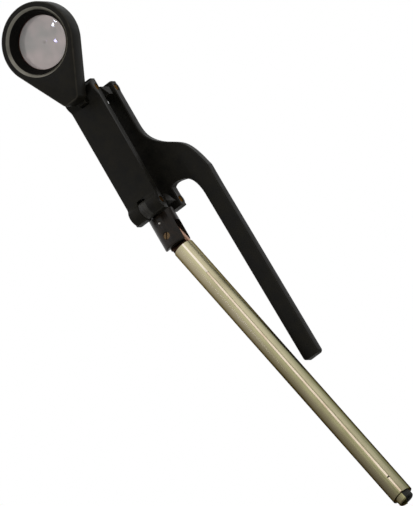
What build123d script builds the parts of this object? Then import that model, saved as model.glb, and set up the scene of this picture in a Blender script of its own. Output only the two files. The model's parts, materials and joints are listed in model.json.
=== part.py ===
import os
from math import cos, hypot, radians, sin, sqrt

from build123d import *

# Hinged fundus lens attachment of a slit lamp, in millimetres.
#
# Frame of the finished part: the guide tube stands upright on the Z axis, +Z up, with the origin at the
# centre of the tube's lower end. Front, where the lens is, is -Y. The hand lever is on the +X side.
#
# The head (arms, lens cell, hinge blocks) is drawn in a frame of its own, in which the arms stand upright:
# X along the hinge pins, Y from the front arm to the rear arm, Z up, origin on the lower front pin. The
# head is set down on the pivot screw, leaning by head_lean about Y.

# Guide tube and its inner rod
tube_diameter = 8.0
tube_wall = 0.6
tube_length = 123.3
tube_slot_width = 0.9
tube_slot_azimuth = -61.0
tube_slot_top_gap = 2.0
rod_diameter = 6.1
rod_protrusion = 2.6
rod_top_gap = 9.9
rod_end_chamfer = 0.35
rod_insert_length = 14.0
rod_insert_setback = 0.3
bush_length = 7.4
bush_chamfer = 0.15
stop_ring_length = 4.0
stop_ring_step = 0.8

# Tube head, pivot and fork barrel
head_lean = 11.9
swing_half_range = 15.0
tongue_thickness = 3.4
tongue_fillet = 0.4
collar_thickness = 0.6
head_inset = 0.25
plug_length = 12.0
plug_chamfer = 0.5
cross_pin_diameter = 1.5
cross_pin_drop = 6.0
cross_pin_inset = 0.05
washer_diameter = 6.4
washer_thickness = 0.3
pivot_drop = 11.4
pivot_shank_diameter = 2.0
pivot_head_diameter = 2.7
pivot_head_height = 1.0
pivot_head_inset = 0.25
pivot_driver_slot = 0.5
pivot_driver_depth = 0.4
pivot_driver_angle = 30.0
barrel_diameter = 9.9
barrel_below_pivot = 4.1
barrel_rim_fillet = 0.6
spigot_diameter = 6.0
lock_pin_diameter = 1.0
lock_pin_height = 5.3

# Parallelogram arms and hinge pins
arm_pin_distance = 47.6
pin_spacing = 14.0
arm_width = 13.2
front_arm_thickness = 3.6
rear_arm_thickness = 3.9
arm_edge_chamfer = 0.3
front_knuckle_radius = 3.5
rear_knuckle_radius = 2.5
knuckle_blend = 2.0
notch_width = 3.6
notch_depth_past_pin = 3.9
hinge_pin_diameter = 2.6
hinge_pin_inset = 0.15
hinge_pin_chamfer = 0.2
tilt_limit = 55.0

# Hand lever, in one piece with the rear arm. The points are places on its two long edges, from the root at
# the arm to the bend above the straight grip: X from the arm's long edge, Z from the lower pin.
lever_root_top = 34.0
lever_root_bottom = 4.9
lever_outer_points = ((0.8, 26.6), (5.5, 20.7), (12.5, 15.0), (16.3, 4.7))
lever_inner_points = ((9.8, -2.3), (9.3, 0.1), (8.4, 2.2), (6.5, 4.2), (4.2, 5.2), (2.0, 5.6))
lever_bend_bottom = -8.0
lever_grip_inner = 10.0
lever_grip_outer = 16.6
lever_grip_splay = 0.9
lever_bottom = -76.0
lever_end_radius = 1.2

# Hinge block and carrier block
web_inset = 0.5
web_height = 2.5
web_bottom = -0.4
block_tongue_width = 3.5
front_tongue_radius = 3.3
rear_tongue_radius = 2.3
pad_width = 9.0
pad_thickness = 1.6
neck_drop = 3.5
neck_rise = 5.0
cell_screw_spacing = 5.2
cell_screw_rise = 7.2
cell_screw_diameter = 1.6
cell_screw_head_diameter = 3.0
cell_screw_bite = 2.6
cell_screw_driver_slot = 0.45
cell_screw_driver_depth = 0.4

# Lens cell, lens and its rings
cell_radius = 14.5
cell_depth = 6.8
lens_rise = 23.2
cell_tail_length = 25.7
cell_tail_width = 7.6
cell_tail_radius = 1.75
cell_edge_chamfer = 0.4
cell_barrel_radius = 12.4
cell_barrel_length = 2.2
cell_barrel_chamfer = 0.4
recess_mouth_radius = 12.6
recess_chamfer_width = 1.0
recess_chamfer_depth = 0.8
recess_depth = 4.3
aperture_radius = 9.7
lens_radius = 11.0
lens_edge_thickness = 2.6
lens_front_curve = 60.0
lens_back_curve = 45.0
lens_rim_width = 1.1
seat_ring_thickness = 0.4
retainer_thickness = 1.2
retainer_inner_radius = 9.9
spanner_slot_width = 1.2
spanner_slot_depth = 0.6

# Clearances
running_gap = 0.04
side_gap = 0.05
sweep_gap = 0.2
open_pivot_gap = 0.08
cell_gap = 0.8
lens_gap = 0.05

# Sizes that follow
tube_radius = tube_diameter / 2
tube_bore_radius = tube_radius - tube_wall
rod_radius = rod_diameter / 2
rod_top = tube_length - plug_length - rod_top_gap
rod_length = rod_top + rod_protrusion
head_radius = tube_radius - head_inset
bush_bore_radius = rod_radius + running_gap
shoulder_drop = (
    barrel_below_pivot + sweep_gap + tube_radius * sin(radians(swing_half_range))
) / cos(radians(swing_half_range))
pivot_height = tube_length + collar_thickness + shoulder_drop
fork_gap = tongue_thickness + 2 * (washer_thickness + side_gap)
fork_gap_top = head_radius + sweep_gap
barrel_radius = barrel_diameter / 2
block_bottom = -rear_tongue_radius
socket_y = pin_spacing / 2
front_sweep = hypot(front_arm_thickness / 2, front_knuckle_radius) + sweep_gap
rear_sweep = hypot(rear_arm_thickness / 2, rear_knuckle_radius) + sweep_gap
pin_radius = hinge_pin_diameter / 2
arm_edge = arm_width / 2
web_width = arm_width - 2 * web_inset
grip_outer = arm_edge + lever_grip_outer
grip_inner = arm_edge + lever_grip_inner
lens_height = arm_pin_distance + lens_rise
cell_back = -(front_knuckle_radius + cell_gap)
cell_front = cell_back - cell_depth
pad_back = cell_back + pad_thickness
pad_bottom = arm_pin_distance + sqrt(front_sweep**2 - pad_back**2)
pad_top = lens_height - cell_barrel_radius - sweep_gap
cell_screw_height = arm_pin_distance + cell_screw_rise
lens_seat = cell_front + recess_depth
lens_front = lens_seat + seat_ring_thickness
lens_back = lens_front + lens_edge_thickness
cell_bore_radius = lens_radius + lens_gap

ALONG_Y = Rotation(-90, 0, 0)


def rod_between(start, end, radius):
    """Round bar from one point to another."""
    start, end = Vector(*start), Vector(*end)
    plane = Plane(origin=start, z_dir=end - start)
    return plane * Cylinder(radius, (end - start).length, align=(Align.CENTER, Align.CENTER, Align.MIN))


def slab(x, y, z):
    """Box from pairs of lowest and highest X, Y and Z."""
    centre = ((x[0] + x[1]) / 2, (y[0] + y[1]) / 2, (z[0] + z[1]) / 2)
    return Pos(*centre) * Box(x[1] - x[0], y[1] - y[0], z[1] - z[0])


def ring(inner, outer, low, high):
    """Tube along Z with square ends."""
    return Pos(0, 0, low) * extrude(Circle(outer) - Circle(inner), high - low)


def profile_along_x(sketch, width):
    """Solid of a (Y, Z) profile, spread evenly to both sides of X = 0."""
    return extrude(Plane.YZ * sketch, width / 2, both=True)


def set_down(solid):
    """Moves a piece of the head from its own frame to its place on the pivot screw."""
    to_pivot = Pos(0, -socket_y, pivot_drop)
    return Pos(0, 0, pivot_height) * Rotation(0, head_lean, 0) * to_pivot * solid


# Guide tube and inner rod, drawn in the part's frame


def guide_tube():
    """Thin tube with one fine slot, open at the lower end, and holes for the head's cross pin."""
    body = ring(tube_bore_radius, tube_radius, 0, tube_length)
    slot = slab(
        (0, 2 * tube_radius),
        (-tube_slot_width / 2, tube_slot_width / 2),
        (-1, tube_length - plug_length - tube_slot_top_gap),
    )
    return body - Rotation(0, 0, tube_slot_azimuth) * slot - cross_pin_bar(2 * tube_radius)


def cross_pin_bar(half_length):
    """Bar on the cross pin's axis, square to the tube's slot."""
    height = tube_length - cross_pin_drop
    azimuth = radians(tube_slot_azimuth + 90)
    reach = (half_length * cos(azimuth), half_length * sin(azimuth))
    return rod_between((-reach[0], -reach[1], height), (*reach, height), cross_pin_diameter / 2)


def head_cross_pin():
    return cross_pin_bar(tube_radius - cross_pin_inset)


def rod_guide_bush():
    """Bush pressed into the tube's lower end."""
    body = ring(bush_bore_radius, tube_bore_radius, 0, bush_length)
    return chamfer(body.edges().group_by(Axis.Z)[-1], bush_chamfer)


def rod_insert_space(low, high):
    """Half round of the rod on the lever's side of the plane through the axis and the tube's slot."""
    half = Cylinder(rod_radius, high - low, align=(Align.CENTER, Align.CENTER, Align.MIN))
    half -= slab((-rod_diameter, rod_diameter), (-rod_diameter, 0), (-1, high - low + 1))
    return Rotation(0, 0, tube_slot_azimuth) * Pos(0, 0, low) * half


def inner_rod():
    """Solid rod with a half-lap at its lower end and a stepped-down seat for the stop ring."""
    body = Pos(0, 0, -rod_protrusion) * Cylinder(
        rod_radius, rod_length, align=(Align.CENTER, Align.CENTER, Align.MIN)
    )
    body = chamfer(body.edges().group_by(Axis.Z)[0], rod_end_chamfer)
    seat_low = rod_top - stop_ring_length
    body -= ring(rod_radius - stop_ring_step, rod_diameter, seat_low, rod_top + 1)
    return body - rod_insert_space(-rod_protrusion - 1, rod_insert_length)


def rod_end_insert():
    """Half-round insert in the rod's half-lap, set back from the rod's end."""
    low = rod_insert_setback - rod_protrusion
    insert = rod_insert_space(low, rod_insert_length)
    round_edge = insert.edges().group_by(Axis.Z)[0].filter_by(GeomType.CIRCLE)
    return chamfer(round_edge, rod_end_chamfer)


def rod_stop_ring():
    """Ring on the rod's upper end, which stops at the bush when the rod is out."""
    low = rod_top - stop_ring_length
    return ring(rod_radius - stop_ring_step, tube_bore_radius - running_gap, low, rod_top)


# Tube head and pivot, drawn in the part's frame


def tube_head():
    """Plug, collar and flat tongue with a round top about the pivot."""
    plug_low = tube_length - plug_length
    plug = Pos(0, 0, plug_low) * Cylinder(
        tube_bore_radius, plug_length, align=(Align.CENTER, Align.CENTER, Align.MIN)
    )
    plug = chamfer(plug.edges().group_by(Axis.Z)[0], plug_chamfer)
    collar = Pos(0, 0, tube_length) * Cylinder(
        head_radius, collar_thickness, align=(Align.CENTER, Align.CENTER, Align.MIN)
    )
    shoulder = tube_length + collar_thickness
    blank = Pos(0, 0, shoulder) * Cylinder(
        head_radius, shoulder_drop + head_radius, align=(Align.CENTER, Align.CENTER, Align.MIN)
    )
    half = tongue_thickness / 2
    flat = slab((-head_radius, head_radius), (-half, half), (shoulder, pivot_height))
    flat += rod_between((0, -half, pivot_height), (0, half, pivot_height), head_radius)
    bore = rod_between(
        (0, -tube_radius, pivot_height),
        (0, tube_radius, pivot_height),
        pivot_shank_diameter / 2 + running_gap,
    )
    return plug + collar + (blank & flat) - bore - cross_pin_bar(tube_radius)


def pivot_axis_bar(y_low, y_high, radius, height=0.0):
    """Bar along Y on the pivot, or at a height above it, in the head's frame."""
    level = height - pivot_drop
    return rod_between((0, socket_y + y_low, level), (0, socket_y + y_high, level), radius)


def pivot_screw():
    """Slotted cheese-head screw, let into the front cheek and threaded into the rear one."""
    head_front = pivot_head_inset - barrel_radius
    head_back = head_front + pivot_head_height
    rear_end = barrel_radius - pivot_head_inset
    screw = pivot_axis_bar(head_front, head_back, pivot_head_diameter / 2)
    screw += pivot_axis_bar(head_back, rear_end, pivot_shank_diameter / 2)
    half = pivot_driver_slot / 2
    front = socket_y + head_front
    driver = slab((-half, half), (-1, pivot_driver_depth), (-pivot_head_diameter, pivot_head_diameter))
    return screw - Pos(0, front, -pivot_drop) * Rotation(0, pivot_driver_angle, 0) * driver


def pivot_washers():
    """Thin friction washers on both sides of the tube head's tongue."""
    inner = fork_gap / 2 - washer_thickness
    pair = []
    for side in (-1, 1):
        low, high = sorted((side * inner, side * fork_gap / 2))
        washer = pivot_axis_bar(low, high, washer_diameter / 2)
        pair.append(washer - pivot_axis_bar(low - 1, high + 1, pivot_shank_diameter / 2 + side_gap))
    return Compound(pair)


def fork_barrel():
    """Round barrel, slotted sideways at its lower end, bored for the hinge block's spigot at its top."""
    low = -pivot_drop - barrel_below_pivot
    body = Pos(0, socket_y, low) * Cylinder(
        barrel_radius, block_bottom - low, align=(Align.CENTER, Align.CENTER, Align.MIN)
    )
    body = fillet(body.edges().group_by(Axis.Z)[0], barrel_rim_fillet)
    half = fork_gap / 2
    gap_top = fork_gap_top - pivot_drop
    fork = slab((-barrel_diameter, barrel_diameter), (socket_y - half, socket_y + half), (low - 1, gap_top))
    spigot_hole = rod_between((0, socket_y, gap_top - 1), (0, socket_y, 1), spigot_diameter / 2)
    head_front = pivot_head_inset - barrel_radius
    counterbore = pivot_axis_bar(-barrel_diameter, head_front + pivot_head_height, pivot_head_diameter / 2)
    shank = pivot_axis_bar(-barrel_diameter, barrel_diameter, pivot_shank_diameter / 2)
    body = body - fork - spigot_hole - counterbore - shank - lock_pin_bar(barrel_diameter)
    for pin_y, sweep in ((0, front_sweep), (pin_spacing, rear_sweep)):
        body -= rod_between((-arm_width, pin_y, 0), (arm_width, pin_y, 0), sweep)
    return body


def lock_pin_bar(half_length):
    return pivot_axis_bar(-half_length, half_length, lock_pin_diameter / 2, lock_pin_height)


def barrel_lock_pin():
    return lock_pin_bar(barrel_radius - side_gap)


# Hinge blocks between the arms, drawn in the head's frame


def web_profile():
    """(Y, Z) outline of the web, slanted where the far arm's face comes down on it at the tilt's limit."""
    lean = radians(tilt_limit)
    face = rear_arm_thickness / 2 + sweep_gap
    top_y, bottom_y = (
        pin_spacing - (face + sin(lean) * level) / cos(lean) for level in (web_height, web_bottom)
    )
    outline = Polyline(
        (front_sweep, web_bottom),
        (front_sweep, web_height),
        (top_y, web_height),
        (bottom_y, web_bottom),
        close=True,
    )
    return make_face(outline)


def block_body(near_radius, far_radius):
    """Web and the plate whose round ends stand in the notches of the near arm and the far arm."""
    link = Pos(pin_spacing / 2, block_bottom / 2) * Rectangle(pin_spacing, -block_bottom)
    plate = web_profile() + link + Circle(near_radius) + Pos(pin_spacing, 0) * Circle(far_radius)
    return profile_along_x(web_profile(), web_width) + profile_along_x(plate, block_tongue_width)


def pin_bore(pin_y, pin_z, gap):
    return rod_between((-arm_width, pin_y, pin_z), (arm_width, pin_y, pin_z), pin_radius + gap)


def hinge_block():
    """Lower block, with the spigot that stands in the fork barrel."""
    spigot_low = fork_gap_top - pivot_drop
    spigot = rod_between((0, socket_y, spigot_low), (0, socket_y, web_bottom), spigot_diameter / 2)
    spigot -= rod_between((-arm_width, 0, 0), (arm_width, 0, 0), front_sweep)
    body = block_body(front_tongue_radius, rear_tongue_radius) + spigot - lock_pin_bar(barrel_radius)
    return body - pin_bore(0, 0, running_gap) - pin_bore(pin_spacing, 0, running_gap)


def carrier_block():
    """Upper block, made as the lower one turned end over end, with a neck and a pad for the lens cell."""
    body = block_body(rear_tongue_radius, front_tongue_radius)
    turned = Pos(0, pin_spacing, arm_pin_distance) * Rotation(180, 0, 0) * body
    half = block_tongue_width / 2
    neck_z = (arm_pin_distance - neck_drop, arm_pin_distance + neck_rise)
    neck = slab((-half, half), (cell_back, 0), neck_z)
    pad = slab((-pad_width / 2, pad_width / 2), (cell_back, pad_back), (pad_bottom, pad_top))
    pad = fillet(pad.edges().filter_by(Axis.Y), pad_thickness / 2)
    body = turned + neck + pad
    body -= pin_bore(0, arm_pin_distance, running_gap)
    body -= pin_bore(pin_spacing, arm_pin_distance, open_pivot_gap)
    for place in cell_screw_places():
        body -= place * cell_screw_blank()
    return body


def cell_screw_places():
    """Places of the two screws, on the pad's back, with their points towards the lens cell."""
    half = cell_screw_spacing / 2
    return [Pos(x, pad_back, cell_screw_height) * ALONG_Y for x in (-half, half)]


def cell_screw_blank():
    """Countersunk screw without its driver slot, head up at the origin, point down."""
    head = cell_screw_head_diameter / 2
    shank = cell_screw_diameter / 2
    flare = head - shank
    length = pad_thickness + cell_screw_bite
    profile = Polyline((0, 0), (head, 0), (shank, -flare), (shank, -length), (0, -length), close=True)
    return revolve(Plane.XZ * make_face(profile), Axis.Z)


def cell_screws():
    half = cell_screw_driver_slot / 2
    head = cell_screw_head_diameter
    driver = slab((-head, head), (-half, half), (-cell_screw_driver_depth, 1))
    return Compound([place * (cell_screw_blank() - driver) for place in cell_screw_places()])


# Arms, lever and hinge pins, drawn in the head's frame


def arm_plate(outline, thickness):
    """Flat plate of an (X, Z) outline, its long edges broken by a small chamfer."""
    plate = extrude(Plane.XZ * outline, thickness / 2, both=True)
    faces = plate.faces().filter_by(Axis.Y)
    return chamfer(faces.edges(), arm_edge_chamfer)


def arm_outline(radius):
    """(X, Z) rectangle of an arm, which reaches past both pins by its knuckles' radius."""
    return Pos(0, arm_pin_distance / 2) * Rectangle(arm_width, arm_pin_distance + 2 * radius)


def knuckle(radius, thickness, outside, up):
    """Round boss about a pin, on the arm's outer side, blended into the plate."""
    half = thickness / 2
    run = 4 * radius
    plate = Pos(0, up * (run / 2 - radius)) * Rectangle(thickness, run)
    outline = plate + Circle(radius)
    meeting = sqrt(radius**2 - half**2)
    corners = [
        v for v in outline.vertices() if abs(v.Y * up - meeting) < 1e-3 and abs(v.X - outside * half) < 1e-3
    ]
    outline = fillet(corners, knuckle_blend)
    inner_side = Pos(-outside * (half + radius), 0) * Rectangle(2 * radius, 4 * run)
    return chamfer_ends(profile_along_x(outline - inner_side, arm_width))


def chamfer_ends(solid):
    """Breaks the edges round both end faces across X."""
    ends = solid.faces().filter_by(Axis.X)
    return chamfer(ends.edges(), arm_edge_chamfer)


def finished_arm(plate, radius, thickness, outside, pin_y):
    """Adds the knuckles, cuts the notches and the pin bores, and sets the arm at its pins."""
    ends = ((0, 1), (arm_pin_distance, -1))
    body = plate
    for pin_z, up in ends:
        body += Pos(0, 0, pin_z) * knuckle(radius, thickness, outside, up)
    half = notch_width / 2
    reach = 2 * radius
    for pin_z, up in ends:
        low, high = sorted((pin_z - up * reach, pin_z + up * notch_depth_past_pin))
        body -= slab((-half, half), (-reach, reach), (low, high))
        body -= pin_bore(0, pin_z, 0)
    return Pos(0, pin_y, 0) * body


def front_arm():
    plate = arm_plate(arm_outline(front_knuckle_radius), front_arm_thickness)
    return finished_arm(plate, front_knuckle_radius, front_arm_thickness, -1, 0)


def lever_outline():
    """(X, Z) outline of the swan-necked lever, from its root in the arm to its square end."""
    root_top, root_bottom = (arm_edge, lever_root_top), (arm_edge, lever_root_bottom)
    outer_bend, inner_bend = (grip_outer, lever_bend_bottom), (grip_inner, lever_bend_bottom)
    outer_points = [(arm_edge + x, z) for x, z in lever_outer_points]
    inner_points = [(arm_edge + x, z) for x, z in lever_inner_points]
    fall = lever_bottom - lever_bend_bottom
    down, up = (lever_grip_splay, fall), (-lever_grip_splay, -fall)
    outer = Spline(root_top, *outer_points, outer_bend, tangents=((0, -1), down))
    inner = Spline(inner_bend, *inner_points, root_bottom, tangents=(up, (-1, -1)))
    inside = arm_edge / 2
    rest = Polyline(root_bottom, (inside, lever_root_bottom), (inside, lever_root_top), root_top)
    grip = Polyline(
        outer_bend,
        (grip_outer + lever_grip_splay, lever_bottom),
        (grip_inner + lever_grip_splay, lever_bottom),
        inner_bend,
    )
    outline = make_face([outer, grip, inner, rest])
    ends = [v for v in outline.vertices() if abs(v.Y - lever_bottom) < 1e-3]
    return fillet(ends, lever_end_radius)


def rear_arm_lever():
    plate = arm_plate(arm_outline(rear_knuckle_radius) + lever_outline(), rear_arm_thickness)
    return finished_arm(plate, rear_knuckle_radius, rear_arm_thickness, 1, pin_spacing)


def hinge_pin(pin_y, pin_z):
    """Brass pin, a little short of the arm's width, with broken ends."""
    half = arm_edge - hinge_pin_inset
    pin = rod_between((-half, pin_y, pin_z), (half, pin_y, pin_z), pin_radius)
    return chamfer(pin.edges().filter_by(GeomType.CIRCLE), hinge_pin_chamfer)


# Lens cell, lens and rings, drawn in the head's frame


def turned_on_lens_axis(points):
    """Solid turned about the lens axis from (radius, Y) points."""
    outline = make_face(Polyline(*points, close=True))
    turned = revolve(Plane.XY * outline, Axis.Y)
    return Pos(0, 0, lens_height) * turned


def cell_outline():
    """Teardrop: the hull of the round end and the tail's two rounded corners."""
    tail_x = cell_tail_width / 2 - cell_tail_radius
    tail_z = lens_height - cell_tail_length + cell_tail_radius
    rounds = Pos(0, lens_height) * Circle(cell_radius)
    rounds += Pos(-tail_x, tail_z) * Circle(cell_tail_radius)
    rounds += Pos(tail_x, tail_z) * Circle(cell_tail_radius)
    return make_hull(rounds.edges())


def lens_cell():
    """Teardrop plate with a chamfered, tapering recess, and a short barrel behind it for the lens."""
    plate = extrude(Plane.XZ * cell_outline(), cell_depth)
    plate = Pos(0, cell_back, 0) * plate
    plate = chamfer(plate.faces().filter_by(Axis.Y).edges(), cell_edge_chamfer)
    barrel_back = cell_back + cell_barrel_length
    barrel = turned_on_lens_axis(
        [
            (0, cell_back - 1),
            (cell_barrel_radius, cell_back - 1),
            (cell_barrel_radius, barrel_back - cell_barrel_chamfer),
            (cell_barrel_radius - cell_barrel_chamfer, barrel_back),
            (0, barrel_back),
        ]
    )
    recess = turned_on_lens_axis(
        [
            (0, cell_front - 1),
            (recess_mouth_radius, cell_front - 1),
            (recess_mouth_radius, cell_front),
            (recess_mouth_radius - recess_chamfer_width, cell_front + recess_chamfer_depth),
            (aperture_radius, lens_seat),
            (cell_bore_radius, lens_seat),
            (cell_bore_radius, barrel_back + 1),
            (0, barrel_back + 1),
        ]
    )
    body = plate + barrel - recess
    for place in cell_screw_places():
        body -= place * cell_screw_blank()
    return body


def lens_seat_ring():
    return turned_on_lens_axis(
        [
            (aperture_radius, lens_seat),
            (lens_radius, lens_seat),
            (lens_radius, lens_front),
            (aperture_radius, lens_front),
        ]
    )


def sag(radius, curve):
    """Depth of a spherical face of one radius of curvature, at a distance from its axis."""
    return curve - sqrt(curve**2 - radius**2)


def fundus_lens():
    """Lens with a hollow face on both sides and a flat rim."""
    hollow = lens_radius - lens_rim_width
    front_depth = sag(hollow, lens_front_curve)
    back_depth = sag(hollow, lens_back_curve)
    front_mid = (hollow * 0.5, lens_front + front_depth - sag(hollow * 0.5, lens_front_curve))
    back_mid = (hollow * 0.5, lens_back - back_depth + sag(hollow * 0.5, lens_back_curve))
    front_middle = (0, lens_front + front_depth)
    back_middle = (0, lens_back - back_depth)
    outline = make_face(
        [
            ThreePointArc(front_middle, front_mid, (hollow, lens_front)),
            Polyline((hollow, lens_front), (lens_radius, lens_front), (lens_radius, lens_back), (hollow, lens_back)),
            ThreePointArc((hollow, lens_back), back_mid, back_middle),
            Line(back_middle, front_middle),
        ]
    )
    return Pos(0, 0, lens_height) * revolve(Plane.XY * outline, Axis.Y)


def lens_retaining_ring():
    """Threaded ring behind the lens, with two slots for a spanner."""
    back = lens_back + retainer_thickness
    body = turned_on_lens_axis(
        [
            (retainer_inner_radius, lens_back),
            (cell_bore_radius, lens_back),
            (cell_bore_radius, back),
            (retainer_inner_radius, back),
        ]
    )
    half = spanner_slot_width / 2
    slots = slab((-cell_radius, cell_radius), (back - spanner_slot_depth, back + 1), (-half, half))
    return body - Pos(0, 0, lens_height) * slots


TUBE_PARTS = {
    "guide_tube": guide_tube,
    "rod_guide_bush": rod_guide_bush,
    "tube_head": tube_head,
    "head_cross_pin": head_cross_pin,
    "inner_rod": inner_rod,
    "rod_end_insert": rod_end_insert,
    "rod_stop_ring": rod_stop_ring,
}

HEAD_PARTS = {
    "fork_barrel": fork_barrel,
    "pivot_screw": pivot_screw,
    "pivot_washers": pivot_washers,
    "barrel_lock_pin": barrel_lock_pin,
    "hinge_block": hinge_block,
    "front_arm": front_arm,
    "rear_arm_lever": rear_arm_lever,
    "lower_front_pin": lambda: hinge_pin(0, 0),
    "lower_rear_pin": lambda: hinge_pin(pin_spacing, 0),
    "upper_front_pin": lambda: hinge_pin(0, arm_pin_distance),
    "upper_rear_pin": lambda: hinge_pin(pin_spacing, arm_pin_distance),
    "carrier_block": carrier_block,
    "cell_screws": cell_screws,
    "lens_cell": lens_cell,
    "fundus_lens": fundus_lens,
    "lens_seat_ring": lens_seat_ring,
    "lens_retaining_ring": lens_retaining_ring,
}


def main():
    os.makedirs("parts", exist_ok=True)
    for name, make in TUBE_PARTS.items():
        export_step(make(), f"parts/{name}.step")
    for name, make in HEAD_PARTS.items():
        export_step(set_down(make()), f"parts/{name}.step")


main()
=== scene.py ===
"""Dressed model of a hinged fundus lens attachment for a slit lamp.

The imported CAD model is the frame. Each sub-assembly is a class that takes its shapes from the frame's
nodes, rounds their edges, adds the small repeated parts with Geometry Nodes, and gives every surface the
finish of the real one. Sizes inside the classes are in millimetres and meshes are in metres.
"""

import json
import logging
from dataclasses import dataclass, field
from enum import Enum
from math import cos, hypot, radians, sin
from typing import Callable

import bmesh
import bpy
from mathutils import Matrix, Vector


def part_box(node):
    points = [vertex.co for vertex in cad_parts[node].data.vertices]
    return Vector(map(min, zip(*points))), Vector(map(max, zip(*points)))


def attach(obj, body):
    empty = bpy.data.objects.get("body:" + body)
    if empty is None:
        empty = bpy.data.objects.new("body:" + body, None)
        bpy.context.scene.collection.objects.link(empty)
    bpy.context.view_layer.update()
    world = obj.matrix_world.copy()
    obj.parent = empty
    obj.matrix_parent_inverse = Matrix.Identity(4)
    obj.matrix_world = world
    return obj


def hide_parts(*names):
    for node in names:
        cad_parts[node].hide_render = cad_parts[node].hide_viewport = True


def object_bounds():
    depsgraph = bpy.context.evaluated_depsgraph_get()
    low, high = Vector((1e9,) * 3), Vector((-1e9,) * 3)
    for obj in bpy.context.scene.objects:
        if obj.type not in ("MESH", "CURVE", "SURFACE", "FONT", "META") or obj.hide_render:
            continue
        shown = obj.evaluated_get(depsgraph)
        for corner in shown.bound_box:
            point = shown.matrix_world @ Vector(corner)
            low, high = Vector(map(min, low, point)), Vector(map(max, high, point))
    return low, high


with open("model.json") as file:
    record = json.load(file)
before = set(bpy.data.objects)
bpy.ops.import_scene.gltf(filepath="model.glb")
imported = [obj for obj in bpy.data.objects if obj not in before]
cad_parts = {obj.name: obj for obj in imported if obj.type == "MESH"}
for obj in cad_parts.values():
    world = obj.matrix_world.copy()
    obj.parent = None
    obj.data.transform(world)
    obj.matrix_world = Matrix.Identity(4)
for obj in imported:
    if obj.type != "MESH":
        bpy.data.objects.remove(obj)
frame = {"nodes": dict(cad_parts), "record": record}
CAD_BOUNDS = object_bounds()

log = logging.getLogger("fundus_lens_attachment")

MM = 0.001
MERGE_DISTANCE = 1e-6
FLAT_ANGLE = radians(0.4)
SHARP_ANGLE = radians(28)

# The guide tube's slot: the side that it lies on, and the gap between its end and the tube's head
SLOT_AZIMUTH = radians(-61)
SLOT_END_GAP = 2.0
SLOT_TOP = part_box("tube_head")[0][2] / MM - SLOT_END_GAP

Node = bpy.types.Node
NodeTree = bpy.types.NodeTree
Socket = bpy.types.NodeSocket
Zone = Callable[[Vector, Vector], int]


class Body(str, Enum):
    """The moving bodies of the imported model."""

    TUBE = "tube"
    ROD = "rod"
    FORK = "fork"
    FRONT_LINK = "front_link"
    LEVER_LINK = "lever_link"
    LENS_HEAD = "lens_head"


def linear(hex_colour: str) -> tuple[float, float, float, float]:
    """Turns an sRGB hex colour into linear RGBA.

    Args:
        hex_colour: Six hex digits with a leading number sign.

    Returns:
        Linear red, green, blue and an alpha of 1.
    """
    channels = [int(hex_colour[i : i + 2], 16) / 255 for i in (1, 3, 5)]
    red, green, blue = (c / 12.92 if c <= 0.04045 else ((c + 0.055) / 1.055) ** 2.4 for c in channels)
    return red, green, blue, 1.0


def per_mm(size: float) -> float:
    """Texture scale at which one pattern cell is that many millimetres wide."""
    return 1 / (size * MM)


def fill(tree: NodeTree, node: Node, inputs: dict) -> None:
    """Sets a node's inputs to values or links them to sockets, by input name or index."""
    for name, value in inputs.items():
        if isinstance(value, Socket):
            tree.links.new(value, node.inputs[name])
        else:
            node.inputs[name].default_value = value


def add(tree: NodeTree, kind: str, inputs: dict | None = None, **settings: object) -> Node:
    """Adds one node with its settings, values and links.

    Args:
        tree: The shader or geometry tree.
        kind: The node's type name.
        inputs: Values or sockets by input name or index.
        **settings: The node's own properties.

    Returns:
        The new node.
    """
    made = tree.nodes.new(kind)
    for name, value in settings.items():
        setattr(made, name, value)
    fill(tree, made, inputs or {})
    return made


class HeadFrame:
    """The frame in which the arms stand upright: X along the pins, Y to the rear, Z up, in millimetres."""

    def __init__(self) -> None:
        """Reads the lower front pin's place and direction from the frame's arm_tilt joint."""
        joint = next(j for j in frame["record"]["behaviour"]["joints"] if j["name"] == "arm_tilt")
        x_axis = Vector(joint["axis"]).normalized()
        y_axis = Vector((0, 1, 0))
        turn = Matrix((x_axis, y_axis, x_axis.cross(y_axis))).transposed().to_4x4()
        self.matrix = Matrix.Translation(Vector(joint["pos_m"])) @ turn @ Matrix.Scale(MM, 4)
        self.inverse = self.matrix.inverted()

    def to_row(self, x: float, y: float, z: float) -> Vector:
        """Place in the row frame, in metres, of a point given in millimetres."""
        return self.matrix @ Vector((x, y, z))

    def from_row(self, point: Vector) -> Vector:
        """Place in the head frame, in millimetres, of a point given in metres."""
        return self.inverse @ point

    def turn_in(self, direction: Vector) -> Vector:
        """Direction in the head frame of a direction in the row frame."""
        return (self.inverse.to_3x3() @ direction).normalized()

    def turn_out(self, x: float, y: float, z: float) -> Vector:
        """Direction in the row frame of a direction in the head frame."""
        return (self.matrix.to_3x3() @ Vector((x, y, z))).normalized()


HEAD = HeadFrame()


def node_centre(node: str) -> Vector:
    """Centre of a CAD node's box, in the head frame, in millimetres."""
    low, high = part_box(node)
    return HEAD.from_row((Vector(low) + Vector(high)) / 2)


LENS_CENTRE = node_centre("fundus_lens")


# Finishes


@dataclass(frozen=True)
class Finish:
    """A surface finish, built once as a node material."""

    name: str

    def build(self) -> bpy.types.Material:
        """Makes the node material, or returns the one that was made before."""
        known = bpy.data.materials.get(self.name)
        if known:
            return known
        material = bpy.data.materials.new(self.name)
        material.use_nodes = True
        tree = material.node_tree
        tree.nodes.clear()
        shader = add(tree, "ShaderNodeBsdfPrincipled")
        add(tree, "ShaderNodeOutputMaterial", {"Surface": shader.outputs["BSDF"]})
        place = add(tree, "ShaderNodeTexCoord").outputs["Object"]
        self.dress(tree, shader, place)
        return material

    def dress(self, tree: NodeTree, shader: Node, place: Socket) -> None:
        """Sets the shader's sockets and adds the finish's patterns."""
        raise NotImplementedError


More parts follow.
